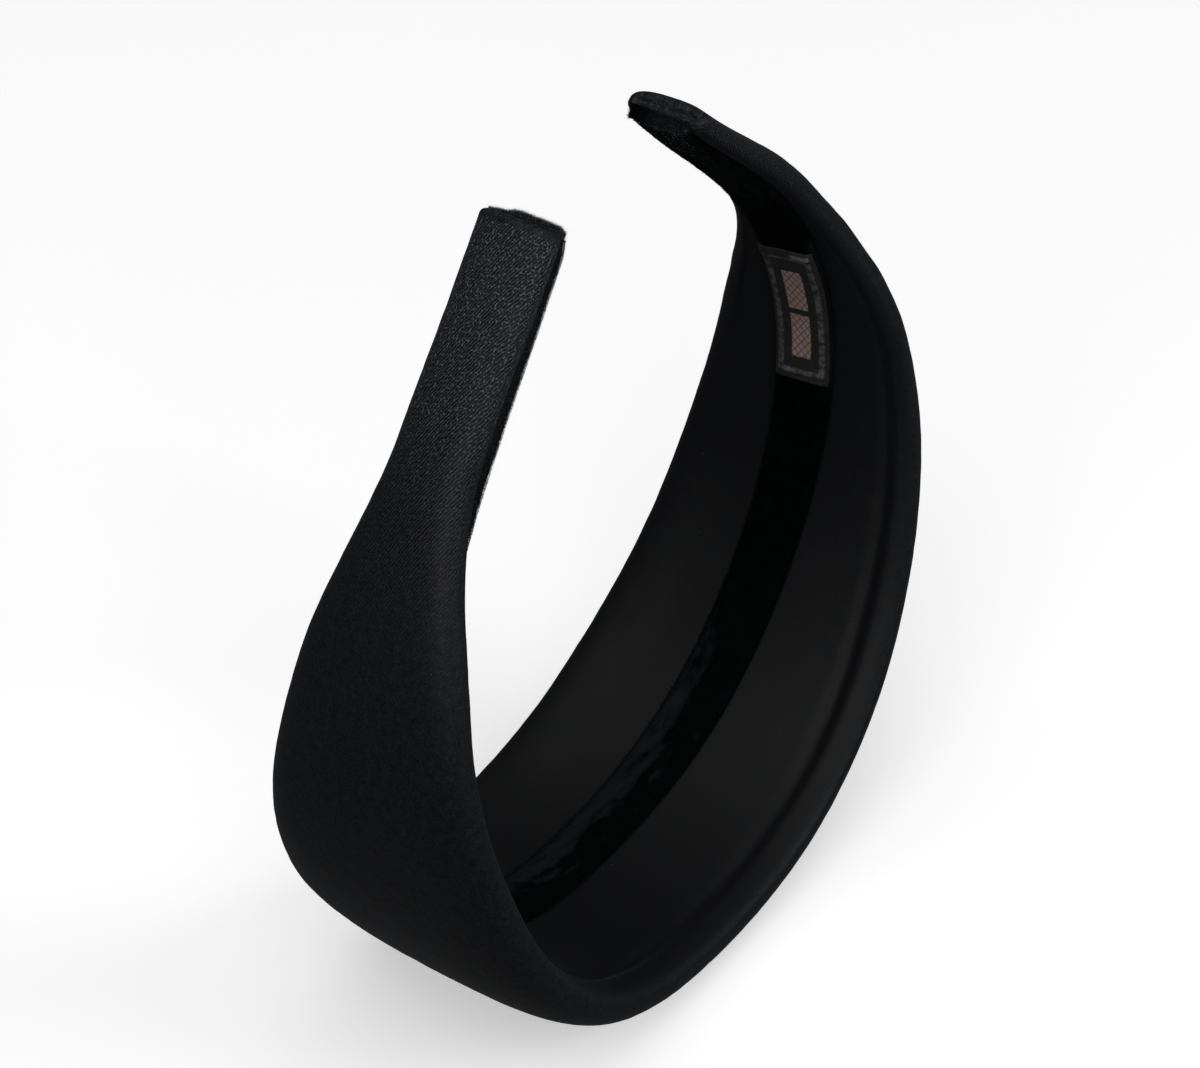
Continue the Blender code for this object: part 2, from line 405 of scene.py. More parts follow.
def makeBand():
    straight = band["halfLength"] - band["tipRound"]
    turned = np.linspace(0, math.pi / 2, band["tipRings"] + 1)[1:]
    ends = straight + band["tipRound"] * np.sin(turned)
    middle = np.linspace(-straight, straight, band["stepsAlong"] + 1)
    distance = np.concatenate([-ends[::-1], middle, ends])
    drawn = band["tipRound"] * (1 - np.cos(turned))
    inset = np.concatenate([drawn[::-1], 0 * middle, drawn])
    steps = band["stepsAround"]
    sides, outs, girths = sectionRing(distance, inset, steps)
    place, outward, across = frameAt(distance)
    points = place[:, None] + across[:, None] * sides[..., None] + outward[:, None] * outs[..., None]
    half, _, _, hollow = sectionSizes(distance)
    v = sides / half[:, None]
    isInner = outs < 0
    share = np.abs(distance)[:, None] / band["halfLength"]

    # the surface's own outward direction, from its neighbours
    alongStep = np.gradient(points, axis=0)
    ring = points[:, :-1]
    roundStep = np.roll(ring, -1, 1) - np.roll(ring, 1, 1)
    roundStep = np.concatenate([roundStep, roundStep[:, :1]], 1)
    normal = np.cross(roundStep, alongStep)
    normal /= np.linalg.norm(normal, axis=-1, keepdims=True) + 1e-12
    middleRow = len(distance) // 2
    if normal[middleRow, steps // 2] @ outward[middleRow] < 0:
        normal = -normal

    free = np.where(isInner, ease(0.42, 0.62, np.abs(v)), 1.0)  # the satin lies flat under the ribbon
    flat = points.reshape(-1, 3)
    swell = cloud(flat, band["unevenSpread"]) + 0.4 * cloud(flat, band["unevenSpread"] / 2.6, 7.3)
    lift = band["unevenness"] * swell.reshape(v.shape) * free * (1 - 0.7 * ease(0.97, 1.0, share))
    # the far side slopes to its rim, with no roll as on the near side
    easy = ease(0.45, 0.97, v) - ease(band["rollStart"], band["rollEnd"], v)
    lift += hollow[:, None] * easy * isInner * (v > 0) * (1 - ease(0.5, 0.62, share))
    lift += band["grain"] * cloud(flat, 2.4 * mm, 1.7).reshape(v.shape) * free
    crease = np.exp(-(((-v - band["creaseAt"]) / band["creaseWidth"]) ** 2))
    crease = crease * isInner * (1 - ease(0.66, 0.82, share))
    ripple = 0.75 + 0.35 * cloud(np.stack([distance * 70, 0 * distance, 0 * distance], -1), 1.0)[:, None]
    lift -= band["rollCrease"] * crease * ripple
    neck = ease(0.55, 0.7, share) * (1 - ease(0.86, 0.95, share))  # where the arm narrows
    slant = np.sin((np.abs(distance)[:, None] * 0.9 - np.abs(girths) * 0.55) / band["dragPitch"])
    gather = ease(0.1, 0.8, cloud(flat, 17 * mm, 3.1)).reshape(v.shape)
    lift += band["dragFold"] * neck * slant * gather * ease(0.55, 0.95, np.abs(v)) * free
    points = points + normal * lift[..., None]

    # the wadding gives way where the crown rests
    soft, sink = 0.25 * mm, 0.02 * mm
    points[..., 2] = 0.5 * (points[..., 2] + np.sqrt(points[..., 2] ** 2 + soft**2)) - sink
    points[..., 2] = np.maximum(points[..., 2], 0.0)

    count = len(distance)
    ringPoints = points[:, :steps].reshape(-1, 3)
    faces = []
    cloth = []
    for i in range(count - 1):
        for j in range(steps):
            k = (j + 1) % steps
            faces.append((i * steps + j, i * steps + k, (i + 1) * steps + k, (i + 1) * steps + j))
            cloth += [
                (distance[i], girths[i, j]),
                (distance[i], girths[i, j + 1]),
                (distance[i + 1], girths[i + 1, j + 1]),
                (distance[i + 1], girths[i + 1, j]),
            ]
    ringPoints, faces, cloth = closeTips(ringPoints, faces, cloth, distance, sides, outs, steps)
    inside = np.zeros(len(ringPoints))
    inside[: count * steps] = (isInner * ease(1.0, 0.93, np.abs(v)))[:, :steps].ravel()
    plain = np.ones(len(ringPoints))
    plain[: count * steps] = np.repeat(ease(straight - 1.0 * mm, straight, np.abs(distance)), steps)
    return addPiece("satinBand", ringPoints, faces, makeSatin(), cloth, {"inside": inside, "plain": plain})


def closeTips(points, faces, cloth, distance, sides, outs, steps):
    # the satin turned in over each end, drawn to the middle of the end face in a few rings
    points = [points]
    total = len(points[0])
    for end in (0, len(distance) - 1):
        sign = -1 if end == 0 else 1
        place, outward, across = [one[0] for one in frameAt(distance[end : end + 1])]
        beyond = np.cross(across, outward)
        if beyond @ (place - frameAt(distance[end : end + 1] * 0.98)[0][0]) < 0:
            beyond = -beyond
        side = sides[end, :steps]
        out = outs[end, :steps]
        thick = (out.max() - out.min()) / 2
        midOut = (out.max() + out.min()) / 2
        spine = np.clip(side, -(np.abs(side).max() - thick), np.abs(side).max() - thick)
        base = points[0][end * steps : (end + 1) * steps]
        previous = np.arange(end * steps, (end + 1) * steps)
        previousCloth = np.stack([np.full(steps, distance[end]), side], -1)
        for ring in range(1, band["capRings"]):
            t = ring / band["capRings"]
            newSide = side + (spine - side) * t
            newOut = out + (midOut - out) * t
            crimp = np.sin(newSide / band["pleatPitch"] + 2.2 * newOut / mm)
            fold = crimp * band["pleat"] * t * (1 - 0.4 * t)
            dip = -band["tipDip"] * t**1.5
            moved = base + across * (newSide - side)[:, None] + outward * (newOut - out)[:, None]
            moved = moved + beyond * (dip + 0.4 * fold)[:, None]
            points.append(moved)
            now = np.arange(total, total + steps)
            total += steps
            nowCloth = np.stack([np.full(steps, distance[end] + sign * ring * 0.3 * mm), newSide], -1)
            for j in range(steps):
                k = (j + 1) % steps
                quad = (previous[j], previous[k], now[k], now[j])
                maps = (previousCloth[j], previousCloth[k], nowCloth[k], nowCloth[j])
                if end == 0:
                    quad, maps = quad[::-1], maps[::-1]
                faces.append(tuple(int(one) for one in quad))
                cloth += [tuple(one) for one in maps]
            previous, previousCloth = now, nowCloth
        quarter = steps // 4
        for j in range(quarter):
            for way in (1, -1):
                first = (way * j) % steps
                second = (way * (j + 1)) % steps
                third = (steps // 2 - way * (j + 1)) % steps
                fourth = (steps // 2 - way * j) % steps
                corners = [first, second, third, fourth] if second != third else [first, second, fourth]
                if way < 0:
                    corners = corners[::-1]
                if end == 0:
                    corners = corners[::-1]
                faces.append(tuple(int(previous[one]) for one in corners))
                cloth += [tuple(previousCloth[one]) for one in corners]
    return np.concatenate(points), faces, cloth


satinBand = makeBand()
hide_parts("padded_band")
print("satin band:", len(satinBand.data.polygons), "faces")


# the ribbon: glued along the inside, its place across given from the left tip at -1 to the right tip at 1
ribbon = {
    "width": 10.5 * mm,
    "thickness": 1.2 * mm,
    "clear": 0.3 * mm,
    "overhang": 1.0 * mm,
    # at, shift towards the far edge as a share of the width
    "lay": (
        (-1.0, -0.12),
        (-0.8, -0.16),
        (-0.6, -0.10),
        (-0.3, 0.10),
        (0.0, 0.26),
        (0.3, 0.15),
        (0.6, 0.05),
        (0.8, 0.04),
        (1.0, 0.03),
    ),
    "stepsAlong": 620,
    "stepsAcross": 26,
    "napLumps": 0.10 * mm,
    "crushDepth": 0.95 * mm,  # where the pile is pressed down near the crown
    "edgeWander": 0.12 * mm,
    "edgePower": 0.45,  # the edges' rounding: a lower power stands squarer
    "edgeRise": 2.6,
    "looseFrom": -118 * mm,  # from here to the left tip the near edge is cut square, spreads and frays
    "looseRun": 12 * mm,
    "frayRun": 8 * mm,
    "edgeSpread": 0.7 * mm,
    "endSpread": 0.9 * mm,  # how far the corners of a cut end fall back
    "pileColours": ((0.0002, 0.0005, 0.0007), (0.0008, 0.0016, 0.0018)),  # upright, and leaning
    "strokedPile": (0.0090, 0.0098, 0.0116),
    # cut yarn colours: greyer than the pile, with the lightest raised further as painted light on the
    # shaded cut ends
    "cutYarnsAndPaintedLight": ((0.0130, 0.0142, 0.0165), (0.1000, 0.1050, 0.1150)),  # darkest and lightest
}
ribbonShift = smoothCurve(ribbon["lay"], 1)
ribbonReach = band["halfLength"] + ribbon["overhang"]


def stripPlace(distance, offset, lift):
    # points on the inner face, lift away from it; all three are arrays of one shape
    shape = distance.shape
    lift = np.broadcast_to(lift, shape)
    flat = distance.ravel()
    place, outward, across = frameAt(flat)
    half, _, back, hollow = sectionSizes(flat)
    v = np.minimum(np.abs(offset.ravel() / half), band["stripFlat"])
    depth = innerDepth(v, back, hollow) + lift.ravel()
    spots = place + across * offset.ravel()[:, None] - outward * depth[:, None]
    return spots.reshape(*shape, 3)


def crushAt(distance, offset):
    # 0 where the pile stands, 1 where it is stroked flat: in wisps near the crown, at a tip, by the label
    wisps = np.stack([(distance - 1.2 * offset) / (6.5 * mm), (offset + 0.25 * distance) / (1.7 * mm)], -1)
    spots = np.concatenate([wisps, 0 * wisps[..., :1]], -1).reshape(-1, 3)
    blotch = (cloud(spots, 1.0, 11.7) + 0.5 * cloud(spots, 0.41, 2.9)).reshape(distance.shape)
    nearCrown = 1 - ease(0.022, 0.070, np.abs(distance))
    farSide = ease(-0.22, 0.30, offset / ribbon["width"])
    low = nearCrown * ease(0.0, 1.15, farSide + 0.8 * blotch)
    nearTip = 0.5 * ease(0.142, 0.160, distance) * ease(-0.45, 0.25, blotch)
    atLabel = ease(0.098, 0.106, distance) * ease(0.142, 0.136, distance)
    besideLabel = atLabel * ease(0.40, 0.46, np.abs(offset) / ribbon["width"])
    return np.maximum(low, np.maximum(nearTip, besideLabel))


def looseAt(distance, run):
    # 0 to 1 over the run in which the left arm's near edge comes loose
    return ease(ribbon["looseFrom"], ribbon["looseFrom"] - run, distance)


def spreadAt(distance):
    # how far the near edge's pile spreads on the left arm, less again at the cut end
    atEnd = ease(-ribbonReach, 4 * mm - ribbonReach, distance)
    return ribbon["edgeSpread"] * looseAt(distance, ribbon["looseRun"]) * atEnd


def squareAt(distance, beside):
    # how square the ribbon's edge stands: rounded by its pile, and nearly upright where it is loose
    return ribbon["edgeRise"] * (1 + 7 * looseAt(distance, ribbon["looseRun"]) * (beside < 0))


def ribbonSkin(distance, beside, rise):
    # offset and lift of the ribbon's skin; its edges are glued down and follow the satin round its rim
    centre = ribbon["width"] * ribbonShift(distance / ribbonReach)
    offset = centre + beside * ribbon["width"] - spreadAt(distance) * ease(-0.30, -0.48, beside)
    lift = ribbon["clear"] * 0.5 + (ribbon["thickness"] + 0.5 * ribbon["clear"]) * rise
    half, _, back, hollow = sectionSizes(distance)
    v = np.minimum(np.abs(offset) / half, 0.985)
    sag = innerDepth(np.minimum(v, band["stripFlat"]), back, hollow) - innerDepth(v, back, hollow)
    return offset, lift - (sag + 0.12 * mm) * (1 - rise)


def frayAt(distance, offset):
    # how far cut yarns show: up to 1 at both ends, and less down the near edge of the left arm; their
    # lighter colour is partly painted light, fullest on the left end, which lies in shade
    end = ease(ribbonReach - 1.6 * mm, ribbonReach - 0.9 * mm, np.abs(distance))
    end = end * np.where(distance > 0, 0.7 * ease(0.15, -0.20, offset / ribbon["width"]), 1)
    edge = ease(-0.36, -0.43, offset / ribbon["width"]) * looseAt(distance, ribbon["frayRun"])
    return np.maximum(end, 0.3 * edge)


def makeVelvet():
    # black velvet: pile that swallows the light, a little teal where the nap leans
    finish = Finish("blackVelvet")
    place = finish.place()
    nap = finish.grain(place, 2.6 * mm, 3.0, 0.6)
    tuft = finish.grain(place, 0.28 * mm, 2.0, 0.6)
    lean = nap.ease(0.35, 0.72)
    cutYarnAndPaintedLight = finish.blend(tuft.ease(0.42, 0.66), *ribbon["cutYarnsAndPaintedLight"])
    colour = finish.blend(lean, *ribbon["pileColours"])
    crush = finish.stored("crush")
    fray = finish.stored("fray")
    wisp = finish.grain(finish.cloth()[0], 1.3 * mm, 4.0, 0.65, (0.4, 1, 1))
    stroked = (crush + 1.4 * (wisp - 0.5)).ease(0.10, 0.95) * crush.ease(0.0, 0.3)
    colour = finish.blend(stroked * (0.70 + 0.6 * tuft), colour, ribbon["strokedPile"])
    # cut yarns take a lighter colour, partly their own and partly painted light on the shaded ends and
    # edges
    colour = finish.blend(fray, colour, cutYarnAndPaintedLight)
    bump = finish.relief(tuft + 0.6 * nap, 0.10 * mm)
    shader = finish.add(
        "ShaderNodeBsdfPrincipled",
        {},
        {
            "Base Color": colour,
            "Roughness": 0.86 + 0.12 * nap,
            "Normal": bump,
            "Specular IOR Level": 0.04,
            "Sheen Weight": 0.006,
            "Sheen Roughness": 0.30,
            "Sheen Tint": (0.7, 0.95, 1.0, 1),
        },
    )
    return finish.close(shader)


def makeRibbon():
    steps = ribbon["stepsAcross"]
    distance = np.linspace(-ribbonReach, ribbonReach, ribbon["stepsAlong"] + 1)
    centre = ribbon["width"] * ribbonShift(distance / ribbonReach)
    # once round the section: up the near side, over the pile, down the far side, back under
    turn = np.linspace(0, 1, steps + 1)
    section = np.concatenate([turn - 0.5, 0.5 - turn[1:-1]])
    along = np.repeat(distance[:, None], len(section), 1)
    share = np.repeat(section[None], len(distance), 0)
    arch = np.sin(math.pi * (share + 0.5)) * squareAt(along, share)
    isTop = np.minimum(1, arch.clip(0) ** ribbon["edgePower"])
    isTop[:, steps + 1 :] = 0
    wander = cloud(np.stack([distance * 140, 0 * distance, 0 * distance], -1), 1.0) * ribbon["edgeWander"]
    flatOffset = (ribbon["width"] + wander[:, None]) * share
    crush = crushAt(along, flatOffset)
    fray = frayAt(along, flatOffset)
    skin = ribbonSkin(along.ravel(), share.ravel(), isTop.ravel())
    offset, lift = [one.reshape(along.shape) for one in skin]
    offset = offset + wander[:, None] * share
    base = stripPlace(along, offset, lift)
    lumps = cloud(base.reshape(-1, 3), 3.2 * mm).reshape(along.shape)
    pressed = crush * ease(0.100, 0.090, along)
    lift = lift + isTop * (ribbon["napLumps"] * lumps - ribbon["crushDepth"] * pressed)
    beside = np.abs(offset - centre[:, None]) / (ribbon["width"] / 2)
    steady = np.stack([900 * offset, 0 * offset, 0 * offset], -1).reshape(-1, 3)
    ragged = 0.65 * mm * cloud(steady, 1.0, 5.0).reshape(along.shape)
    ragged = ragged - ribbon["endSpread"] * np.minimum(beside, 1.1) ** 6
    atEnd = ease(0.985, 1.0, np.abs(along) / ribbonReach)
    along = along + np.sign(along) * ragged * atEnd
    points = stripPlace(along, offset, lift)
    count = len(section)
    faces = []
    cloth = []
    rings = len(distance)
    for i in range(rings - 1):
        for j in range(count):
            k = (j + 1) % count
            faces.append((i * count + j, (i + 1) * count + j, (i + 1) * count + k, i * count + k))
            cloth += [
                (along[i, j], offset[i, j]),
                (along[i + 1, j], offset[i + 1, j]),
                (along[i + 1, k], offset[i + 1, k]),
                (along[i, k], offset[i, k]),
            ]
    for i in (0, rings - 1):
        for j in range(steps):
            # upper point j is over the under point that mirrors it
            a, b = i * count + j, i * count + (j + 1)
            c = i * count + (count - j - 1) % count if j + 1 < steps else b
            d = i * count + (count - j) % count if j else a
            corners = [one for n, one in enumerate((a, b, c, d)) if one not in (a, b, c, d)[:n]]
            if i == 0:
                corners = corners[::-1]
            faces.append(tuple(corners[::-1]))
            cloth += [(along[i, 0], offset[i, one - i * count]) for one in corners[::-1]]
    return addPiece(
        "velvetRibbon",
        points.reshape(-1, 3),
        faces,
        makeVelvet(),
        cloth,
        {"crush": crush.ravel(), "fray": fray.ravel()},
    )


velvetRibbon = makeRibbon()
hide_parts("velvet_lining")
print("ribbon:", len(velvetRibbon.data.polygons), "faces")


# loose pile that stands past the ribbon's edges and cut ends
pile = {
    "edgeHairs": 32000,
    "endHairs": 17000,
    "thickRun": 66 * mm,  # the stretch by the left tip that has the thickest edge
    "thickShare": 0.55,
    "thickNearSide": 0.9,  # share of its hairs on the near edge
    "leftEndShare": 0.58,
    "length": (0.12 * mm, 0.42 * mm),
    "endLength": (0.3 * mm, 1.1 * mm),
    "thickness": 0.085 * mm,
    "seed": 12,
}


def makeNeedles(chance, root, way, reach, thickness):
    # a slim three-sided needle at each root
    way = way / np.linalg.norm(way, axis=1, keepdims=True)
    first = np.cross(way, chance.normal(0, 1, way.shape))
    first /= np.linalg.norm(first, axis=1, keepdims=True)
    second = np.cross(way, first)
    corners = []
    for turn in (0, 2 * math.pi / 3, 4 * math.pi / 3):
        corners.append(root + thickness / 2 * (math.cos(turn) * first + math.sin(turn) * second))
    corners.append(root + way * reach[:, None])
    start = np.arange(len(root)) * 4
    faces = []
    for a, b, c in ((0, 2, 1), (0, 1, 3), (1, 2, 3), (2, 0, 3)):
        faces += np.stack([start + a, start + b, start + c], -1).tolist()
    return np.stack(corners, 1).reshape(-1, 3), faces


def makePile():
    chance = np.random.default_rng(pile["seed"])
    hairs = []
    count = pile["edgeHairs"]
    side = chance.choice([-1.0, 1.0], count)
    distance = chance.uniform(-1, 1, count) * ribbonReach
    nearTip = chance.uniform(0, 1, count) < pile["thickShare"]
    distance = np.where(nearTip, -ribbonReach + chance.uniform(0, pile["thickRun"], count), distance)
    distance = np.clip(distance, 1.3 * mm - ribbonReach, ribbonReach - 1.3 * mm)
    side = np.where(nearTip & (chance.uniform(0, 1, count) < pile["thickNearSide"]), -1.0, side)
    rise = chance.uniform(0, 0.97, count)
    # each root lies on the ribbon's own rounded edge
    arch = rise ** (1 / ribbon["edgePower"]) / squareAt(distance, side)
    beside = side * (0.5 - np.arcsin(arch) / math.pi)
    root = stripPlace(distance, *ribbonSkin(distance, beside, rise))
    place, outward, across = frameAt(distance)
    forward = np.cross(outward, across)
    reach = chance.uniform(*pile["length"], count) * np.where(nearTip & (side < 0), 0.6, 1.0)
    swing = chance.normal(0, 0.55, (count, 2))
    way = across * side[:, None] + forward * swing[:, :1] - outward * (0.25 + 0.5 * swing[:, 1:])
    # edge hairs take some of the cut-yarn colour: partly their own lighter fibres and partly painted light
    # that makes them sparkle
    frayed = np.where(side < 0, 0.25 * looseAt(distance, ribbon["frayRun"]), 0.0) + 0.12
    hairs.append((root, way, reach, frayed))

    count = pile["endHairs"]
    tip = np.where(chance.uniform(0, 1, count) < pile["leftEndShare"], -1.0, 1.0)
    distance = tip * (ribbonReach - chance.uniform(-0.25 * mm, np.where(tip < 0, 1.1, 0.4) * mm, count))
    beside = chance.uniform(-0.5, np.where(tip < 0, 0.76, 0.5), count)
    drawn = np.where(tip < 0, 0.7 * mm, 1.1 * mm)
    distance = distance - tip * drawn * np.minimum(np.abs(beside) * 2, 1) ** 6
    distance = distance - tip * 1.5 * mm * np.maximum(beside - 0.5, 0)
    rise = chance.uniform(0, 1, count) * np.where(np.abs(beside) > 0.48, 0.45, 1.0)
    low = np.where(tip < 0, 0.5, 0.9) * mm * (1 - rise)  # some hang over the satin's turned-in end
    offset, lift = ribbonSkin(distance, beside, rise)
    root = stripPlace(distance, offset, lift - low)
    place, outward, across = frameAt(distance)
    ahead = frameAt(distance + tip * mm)[0] - place
    ahead /= np.linalg.norm(ahead, axis=1, keepdims=True)
    reach = chance.uniform(*pile["endLength"], count) * chance.uniform(0.5, 1.0, count)
    swing = chance.normal(0, 0.45, (count, 2))
    way = ahead + across * swing[:, :1] - outward * (0.2 + swing[:, 1:])
    # the left end's hairs take the full cut-yarn colour, painted light on that end's shade
    frayed = np.where(tip < 0, 1.0, 0.05 + 0.4 * ease(0.35, -0.10, beside))
    hairs.append((root, way, reach, frayed))

    root, way, reach, frayed = [np.concatenate([one[k] for one in hairs]) for k in range(4)]
    points, faces = makeNeedles(chance, root, way, reach, pile["thickness"])
    fray = {"fray": np.repeat(frayed, 4)}
    return addPiece("velvetPile", points, faces, velvetRibbon.data.materials[0], None, fray)


velvetPile = makePile()
print("loose pile:", len(velvetPile.data.polygons), "faces")


# lint: pale fibres caught on the satin, by the velvet's right end and along its loose edge
lint = {
    "onSatin": 70,
    "atCutEnd": 130,
    "alongEdge": 90,
    "length": (0.15 * mm, 0.45 * mm),
    "endLength": (0.12 * mm, 0.5 * mm),
    "thickness": 0.08 * mm,
    "seed": 5,
}


def makeLint():
    chance = np.random.default_rng(lint["seed"])
    rings = band["stepsAlong"] + 1 + 2 * band["tipRings"]
    picks = chance.integers(0, rings * band["stepsAround"], lint["onSatin"])
    spots = np.array([satinBand.data.vertices[int(k)].co for k in picks])
    away = np.array([satinBand.data.vertices[int(k)].normal for k in picks])
    way = np.cross(away, chance.normal(0, 1, away.shape)) + 0.35 * away
    reach = chance.uniform(*lint["length"], len(picks))

    count = lint["atCutEnd"]
    distance = ribbonReach + 0.2 * mm - 13 * mm * chance.uniform(0, 1, count) ** 1.6
    offset = ribbon["width"] * (ribbonShift(1.0) - chance.uniform(-0.35, 0.45, count))
    root = stripPlace(distance, offset, ribbon["clear"] + ribbon["thickness"] + 0.05 * mm)
    _, outward, across = frameAt(distance)
    endWay = across * chance.normal(0, 1, (count, 1)) - outward * chance.uniform(0.1, 0.6, (count, 1))
    endWay = endWay + np.cross(outward, across) * chance.normal(0, 1, (count, 1))
    roots = [spots, root]
    ways = [way, endWay]
    reaches = [reach, chance.uniform(*lint["endLength"], count)]

    count = lint["alongEdge"]
    distance = chance.uniform(2 * mm - ribbonReach, ribbon["looseFrom"] - 6 * mm, count)
    offset = ribbon["width"] * (ribbonShift(distance / ribbonReach) - 0.5) - spreadAt(distance)
    roots.append(stripPlace(distance, offset, ribbon["clear"] + chance.uniform(-0.5, 0.6, count) * mm))
    _, outward, across = frameAt(distance)
    edgeWay = np.cross(outward, across) * chance.normal(0, 1, (count, 1)) - 0.7 * across
    ways.append(edgeWay + 0.4 * outward * chance.normal(0, 1, (count, 1)))
    reaches.append(chance.uniform(*lint["length"], count))
    root, way, reach = [np.concatenate(one) for one in (roots, ways, reaches)]
    points, faces = makeNeedles(chance, root, way, reach, lint["thickness"])

    finish = Finish("paleLint")
    tint = finish.grain(finish.place(), 0.8 * mm, 2.0)
    colour = finish.blend(tint, (0.05, 0.052, 0.055), (0.34, 0.35, 0.37))
    sockets = {"Base Color": colour, "Roughness": 0.5 + 0.3 * tint, "Specular IOR Level": 0.3}
    shader = finish.add("ShaderNodeBsdfPrincipled", {}, sockets)
    return addPiece("lint", points, faces, finish.close(shader))


paleLint = makeLint()
print("lint:", lint["onSatin"] + lint["atCutEnd"] + lint["alongEdge"], "fibres")


# the label: a small woven tab sewn on the velvet of the right arm
label = {
    "length": 33 * mm,
    "width": 9.8 * mm,
    "thickness": 0.45 * mm,
    "fromTip": 52 * mm,
    "clear": 0.12 * mm,
    "stepsAlong": 170,
    "stepsAcross": 54,
    "borderIn": 1.2 * mm,  # from the edge to the middle of the woven border
    "borderWidth": 0.8 * mm,
    "block": (10.2 * mm, 3.5 * mm),  # each of two rose blocks of lozenges, along and across
    "blocksApart": 11.6 * mm,
    "lozenge": (1.9 * mm, 1.23 * mm),
    "blockShift": 0.3 * mm,
    # the corner bar's raised threads are pale as a painted highlight on the label's folded top end
    "tackHighlight": (1.0 * mm, 3.2 * mm),  # bar of close stitches at one corner, along and across
    "stitchPitch": 0.42 * mm,
    "endMargin": 0.9 * mm,  # how much further the border lies from the ends than from the sides
    "relief": 0.10 * mm,
    "rimThickness": 0.10 * mm,
    "edgeRadius": 0.28 * mm,
    "wave": 0.10 * mm,
    "hem": 0.16 * mm,  # how far the turned ends stand up
    "drape": 0.38 * mm,  # how far its sides give way to the ribbon's round edges
    # each finish from its darkest to its lightest thread
    "ground": ((0.0060, 0.0062, 0.0064), (0.0290, 0.0294, 0.0300)),
    "line": ((0.055, 0.056, 0.056), (0.180, 0.181, 0.182)),
    "rose": ((0.200, 0.135, 0.120), (0.560, 0.400, 0.355)),
    # pale threads of the corner bar, light enough to paint a highlight on the folded end
    "highlightStitches": ((0.060, 0.065, 0.072), (0.240, 0.255, 0.280)),
    "turnedIn": (0.5 * mm, 1.5 * mm),  # what is turned under at each side and at each end
}


def labelPattern(along, across):
    # how much of the border, of a block and of the bar of pale stitches lies at a spot measured from the
    # middle; the bar's paleness is a painted highlight on the label's folded top end
    inLength = label["length"] / 2 - np.abs(along)
    inWidth = label["width"] / 2 - np.abs(across)
    edge = np.minimum(inLength - label["endMargin"], inWidth)
    border = 1 - ease(0.5, 0.8, np.abs(edge - label["borderIn"]) / label["borderWidth"])
    blockLong, blockWide = label["block"]
    fromMiddle = np.abs(along + label["blockShift"])
    fromBlock = np.abs(fromMiddle - label["blocksApart"] / 2) - blockLong / 2
    block = ease(0.12 * mm, -0.12 * mm, np.maximum(fromBlock, np.abs(across) - blockWide / 2))
    tackLong, tackWide = label["tackHighlight"]
    fromTack = np.abs(inLength - label["endMargin"]) / tackLong * (along > 0) + 9.0 * (along <= 0)
    beside = np.abs(across + label["width"] / 2 - tackWide / 2 - 0.5 * mm) / tackWide
    tackHighlight = 1 - ease(0.46, 0.56, np.maximum(fromTack, beside))
    return border * (1 - tackHighlight), block, tackHighlight


def makeWeave():
    finish = Finish("wovenLabel")
    spot, along, across = finish.cloth()
    border = finish.stored("border")
    rose = finish.stored("block")
    lozengeLong, lozengeWide = label["lozenge"]
    first = (along / lozengeLong + across / lozengeWide).wave()
    second = (along / lozengeLong - across / lozengeWide).wave()
    outline = (first.ease(0.80, 0.96) + second.ease(0.80, 0.96)).ease(0.0, 1.0)
    rows = along / (0.30 * mm)
    ribs = rows.wave() * (0.6 + 0.4 * (across / (0.22 * mm) + rows.whole() * 0.5).wave())
    worn = finish.grain(spot, 1.4 * mm, 4.0, 0.65)
    thread = finish.grain(spot, 0.25 * mm, 1.0)
    ground = finish.blend(ribs * 0.5 + 0.9 * (worn - 0.3), *label["ground"])
    line = finish.blend(ribs * 0.6 + 0.4 * thread, *label["line"])
    motif = finish.blend(ribs * 0.5 + 0.5 * thread, *label["rose"])
    highlightStitches = finish.blend((across / label["stitchPitch"]).wave(), *label["highlightStitches"])
    colour = finish.blend((border * (3.8 * worn - 1.25)).ease(0.0, 1.3), ground, line)
    colour = finish.blend((rose * (2.6 * worn - 0.35)).ease(0.1, 0.9) * (1 - 0.6 * outline), colour, motif)
    # the corner bar's pale threads: painted highlight
    colour = finish.blend(finish.stored("tackHighlight"), colour, highlightStitches)
    bump = finish.relief(ribs + 0.5 * thread, 0.06 * mm)
    shader = finish.add(
        "ShaderNodeBsdfPrincipled",
        {},
        {
            "Base Color": colour,
            "Roughness": 0.72 - 0.12 * ribs,
            "Normal": bump,
            "Specular IOR Level": 0.25,
            "Sheen Weight": 0.02,
            "Sheen Roughness": 0.4,
        },
    )
    return finish.close(shader)


